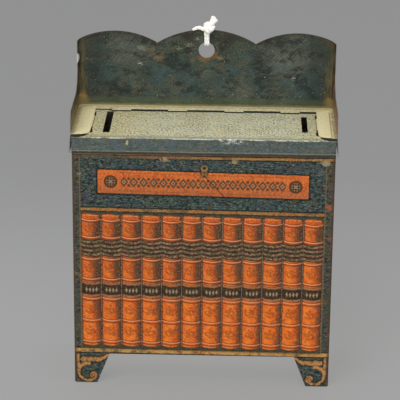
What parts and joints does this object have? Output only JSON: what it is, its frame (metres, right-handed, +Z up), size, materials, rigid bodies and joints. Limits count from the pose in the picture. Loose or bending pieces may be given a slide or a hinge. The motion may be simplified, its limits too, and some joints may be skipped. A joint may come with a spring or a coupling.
{
  "type": "tin money box",
  "caption": "Folded tinplate money box shaped like a small bookcase, with a slip-on lid with two coin slots, a scalloped gallery with a hang hole and string, and bracket feet.",
  "frame": {"origin": "middle of the footprint, on the floor between the feet", "axes": "+Z up, -Y towards the printed front, +X to the right of someone facing the front"},
  "size_m": [0.1122, 0.0455, 0.1537],
  "materials": {
    "printed_front": "lithographed book spines on dark blue-green, varnished and worn",
    "printed_back": "dark blue-green pebbled print, varnished and worn",
    "bare_tinplate": "dull tinned sheet with spangle and age spots",
    "printed_lid": "cream top and dark blue-green skirts, varnished and worn",
    "printed_gallery": "dark blue-green pebbled print with cream flanges, varnished and worn",
    "cotton_string": "twisted white cotton"
  },
  "bodies": {
    "body": {"front_and_sides": "printed_front", "back_panel": "printed_back", "bottom_plate": "bare_tinplate"},
    "lid": {"lid": "printed_lid", "gallery": "printed_gallery", "string_strands": "cotton_string", "string_knot": "cotton_string"}
  },
  "joints": [
    {"name": "lid_lift", "type": "slide", "parent": "body", "child": "lid", "axis": [0, 0, 1], "range_m": [0, 0.06]}
  ]
}
